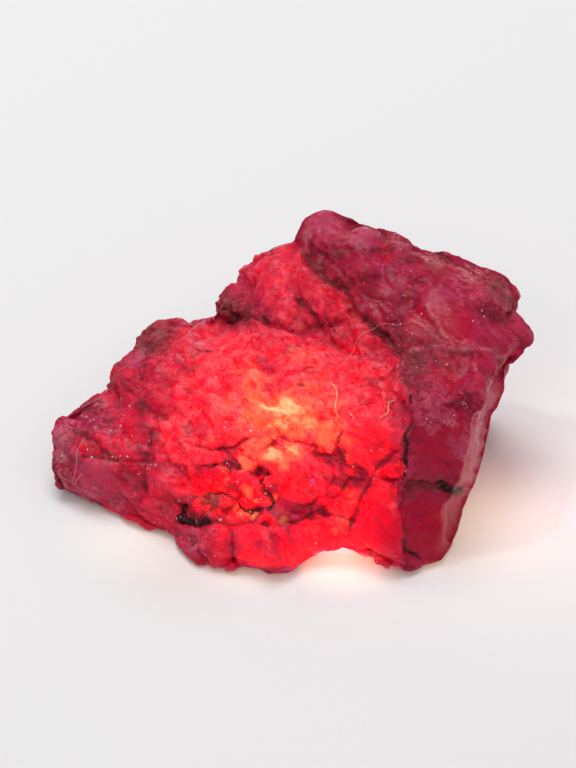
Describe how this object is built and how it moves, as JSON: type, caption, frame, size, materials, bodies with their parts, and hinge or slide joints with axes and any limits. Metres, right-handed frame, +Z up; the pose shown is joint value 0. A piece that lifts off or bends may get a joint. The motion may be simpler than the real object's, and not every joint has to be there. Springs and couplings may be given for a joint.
{
  "type": "raw ruby crystal",
  "caption": "Rough uncut ruby, a broken lump with a raised block at one end and a sloping shoulder, resting on its broad underside.",
  "frame": {"origin": "on the floor, under the middle of the stone's box", "axes": "+X towards the thick block's end, +Y towards the hidden back, +Z up"},
  "size_m": [0.0396, 0.0294, 0.0171],
  "materials": {
    "ruby": "translucent crimson corundum, glassy on fresh breaks, with dusty skin and brown matrix in the cracks"
  },
  "bodies": {
    "root": {"raw_ruby_crystal": "ruby"}
  },
  "joints": []
}
